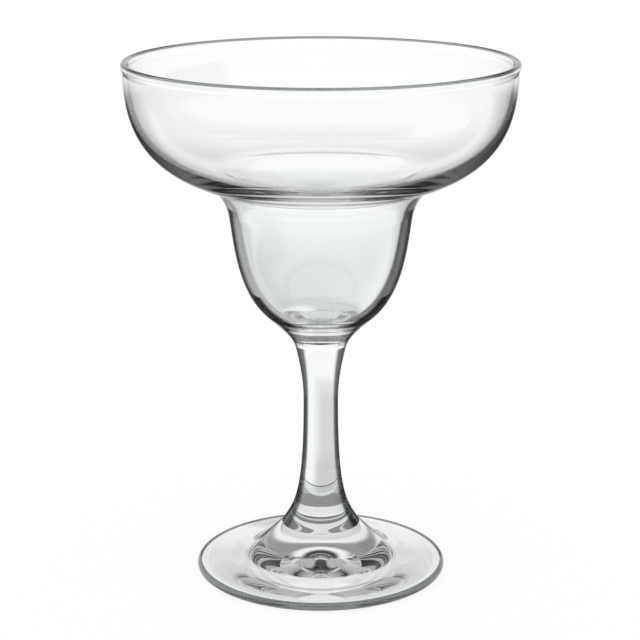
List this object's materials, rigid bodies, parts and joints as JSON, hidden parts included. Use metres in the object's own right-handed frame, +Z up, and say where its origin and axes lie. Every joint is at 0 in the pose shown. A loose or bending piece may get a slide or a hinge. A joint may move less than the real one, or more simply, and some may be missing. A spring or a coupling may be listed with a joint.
{
  "type": "margarita glass",
  "caption": "Stemmed cocktail glass with a wide shallow saucer bowl over a narrow well, a flared solid stem and a round domed foot.",
  "frame": {"origin": "centre of the foot, on the plane of the table that it stands on", "axes": "+Z up along the glass's axis of revolution; +X and +Y lie in the table's plane and are free, because the glass is round"},
  "size_m": [0.115, 0.115, 0.155],
  "materials": {
    "clear_glass": "fire-polished clear soda-lime glass, colourless with a faint cool cast at thick edges"
  },
  "bodies": {
    "root": {"bowl": "clear_glass", "stem": "clear_glass", "foot": "clear_glass"}
  },
  "joints": []
}
